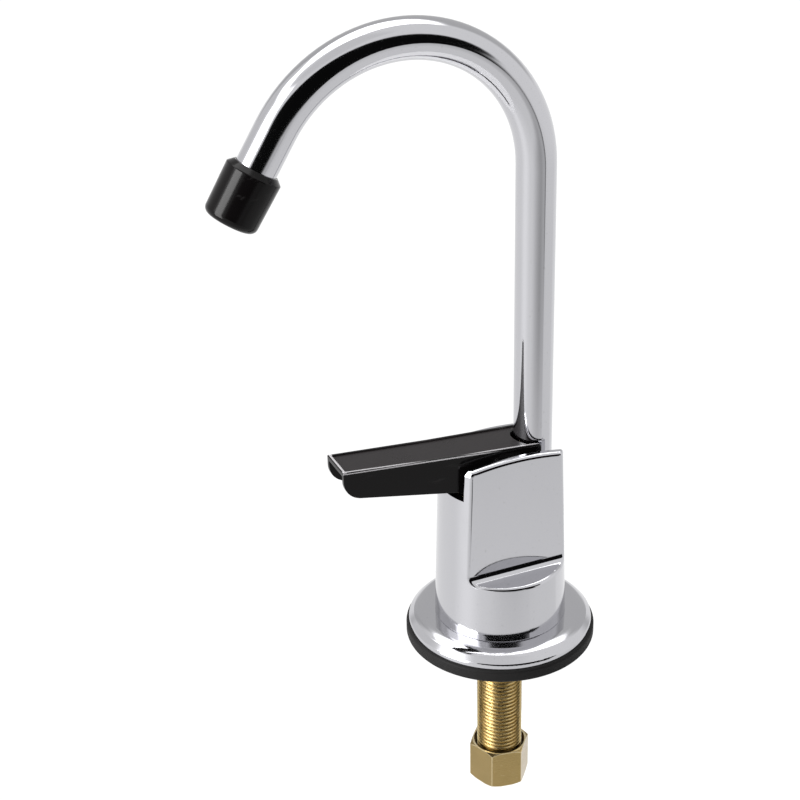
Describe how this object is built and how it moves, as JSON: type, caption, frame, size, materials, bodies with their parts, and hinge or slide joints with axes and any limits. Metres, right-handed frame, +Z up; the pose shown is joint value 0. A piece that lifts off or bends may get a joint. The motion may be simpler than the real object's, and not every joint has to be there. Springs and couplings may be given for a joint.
{
  "type": "drinking water faucet",
  "caption": "Chrome drinking water faucet with a swivelling gooseneck spout, a black press-and-flip lever, a round base plate and a threaded brass shank with a nut.",
  "frame": {"origin": "centre of the gasket's underside, on the deck and on the shank's axis", "axes": "+Z up along the shank, -Y towards the lever's tip and the outlet, +X to the side"},
  "size_m": [0.06, 0.1176, 0.2618],
  "materials": {
    "chrome": "polished chrome plating",
    "black_plastic": "moulded black, half gloss",
    "rubber": "matt moulded rubber",
    "seal_rubber": "smooth seal rubber",
    "brass": "turned and milled brass, satin",
    "cast_brass": "cast and machined brass",
    "steel": "plain stainless steel",
    "nylon": "natural nylon"
  },
  "bodies": {
    "base": {"base_gasket": "rubber", "base_plate": "chrome", "body_shell": "chrome", "valve_body": "cast_brass", "valve_seat": "steel", "bonnet_nut": "cast_brass", "bonnet_washer": "nylon", "stem_o_ring": "seal_rubber", "spout_washer": "nylon", "shank": "brass", "shank_washer": "seal_rubber", "body_screws": "steel", "compression_nut": "brass", "compression_sleeve": "brass"},
    "spout": {"spout_tube": "chrome", "spout_tip": "black_plastic", "spout_end_fitting": "cast_brass", "spout_o_ring_lower": "seal_rubber", "spout_o_ring_upper": "seal_rubber", "spout_snap_ring": "steel"},
    "stem": {"valve_stem": "cast_brass", "seat_washer": "seal_rubber", "seat_washer_screw": "steel", "return_spring": "steel"},
    "pivot": {"lever_pin": "steel"},
    "handle": {"lever": "black_plastic"}
  },
  "joints": [
    {"name": "spout_swivel", "type": "hinge", "parent": "base", "child": "spout", "pos_m": [0, 0.01095, 0.05], "axis": [0, 0, 1], "continuous": true},
    {"name": "stem_lift", "type": "slide", "parent": "base", "child": "stem", "axis": [0, 0, 1], "range_m": [0, 0.0009], "stiffness_N_per_m": 2500, "springref_m": -0.004, "deforming": ["return_spring"]},
    {"name": "lever_press", "type": "hinge", "parent": "stem", "child": "pivot", "pos_m": [0, -0.005, 0.0662], "axis": [1, 0, 0], "range_deg": [0, 10]},
    {"name": "lever_flip", "type": "hinge", "parent": "pivot", "child": "handle", "pos_m": [0, -0.005, 0.0662], "axis": [-1, 0, 0], "range_deg": [0, 85]}
  ],
  "couplings": [
    {"joint": "stem_lift", "follows": "lever_press", "m_per_rad": 0.0051566}
  ]
}
